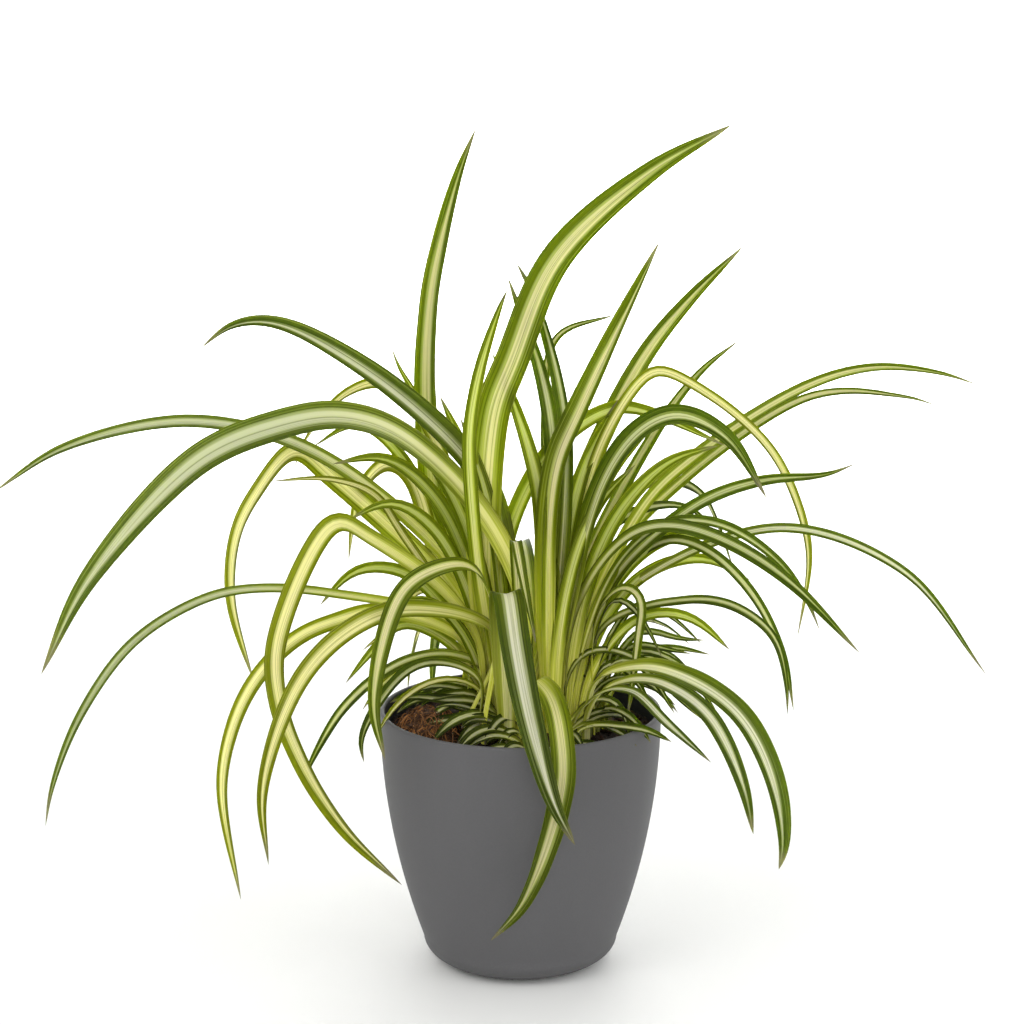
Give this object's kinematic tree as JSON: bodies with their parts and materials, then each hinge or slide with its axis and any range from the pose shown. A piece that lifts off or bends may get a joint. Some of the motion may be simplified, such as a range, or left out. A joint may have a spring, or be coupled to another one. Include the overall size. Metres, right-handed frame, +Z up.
{
  "type": "potted spider plant",
  "caption": "Spider plant with arching striped leaves rising from soil in a smooth round tapered pot",
  "frame": {"origin": "centre of the flat underside of the pot", "axes": "+Z up, -Y the front of the plant, +X its right as seen from the front"},
  "size_m": [0.5879, 0.3315, 0.475],
  "materials": {
    "pot": "satin",
    "soil": "matte",
    "coir": "matte",
    "crown": "satin",
    "leaf": "satin"
  },
  "bodies": {
    "root": {"pot": "pot", "soil": "soil", "coir": "coir", "crown_left": "crown", "crown_right": "crown", "leaf_tall_left": "leaf", "leaf_tall_arch": "leaf", "leaf_left_big": "leaf", "leaf_left_far": "leaf", "leaf_left_crest": "leaf", "leaf_narrow_up": "leaf", "leaf_bent_left": "leaf", "leaf_hang_left": "leaf", "leaf_left_low_long": "leaf", "leaf_left_fall_a": "leaf", "leaf_left_fall_b": "leaf", "leaf_front_hang_left": "leaf", "leaf_low_left_a": "leaf", "leaf_low_left_b": "leaf", "leaf_mid_left_a": "leaf", "leaf_back_left_a": "leaf", "leaf_back_left_b": "leaf", "leaf_back_left_c": "leaf", "leaf_thin_left": "leaf", "leaf_thin_up_left": "leaf", "leaf_back_left_drop": "leaf", "leaf_centre_arch": "leaf", "leaf_upright_right": "leaf", "leaf_up_back_a": "leaf", "leaf_up_back_b": "leaf", "leaf_up_left_inner": "leaf", "leaf_thin_back_right": "leaf", "leaf_right_up_a": "leaf", "leaf_folded_right": "leaf", "leaf_right_up_thin": "leaf", "leaf_dark_broad": "leaf", "leaf_right_long_a": "leaf", "leaf_right_long_b": "leaf", "leaf_right_mid": "leaf", "leaf_right_fall_a": "leaf", "leaf_right_fall_b": "leaf", "leaf_right_long_low": "leaf", "leaf_back_right_a": "leaf", "leaf_back_right_b": "leaf", "leaf_front_right": "leaf", "leaf_low_right_a": "leaf", "leaf_thin_right_drop": "leaf", "leaf_bent_small": "leaf", "leaf_low_right_b": "leaf", "leaf_low_right_c": "leaf", "leaf_front_right_big": "leaf", "leaf_front_right_mid": "leaf", "leaf_front_right_small": "leaf", "leaf_front_big": "leaf", "leaf_front_short": "leaf", "leaf_back_mid": "leaf", "leaf_back_far_right": "leaf", "leaf_back_low_left": "leaf"}
  },
  "joints": []
}
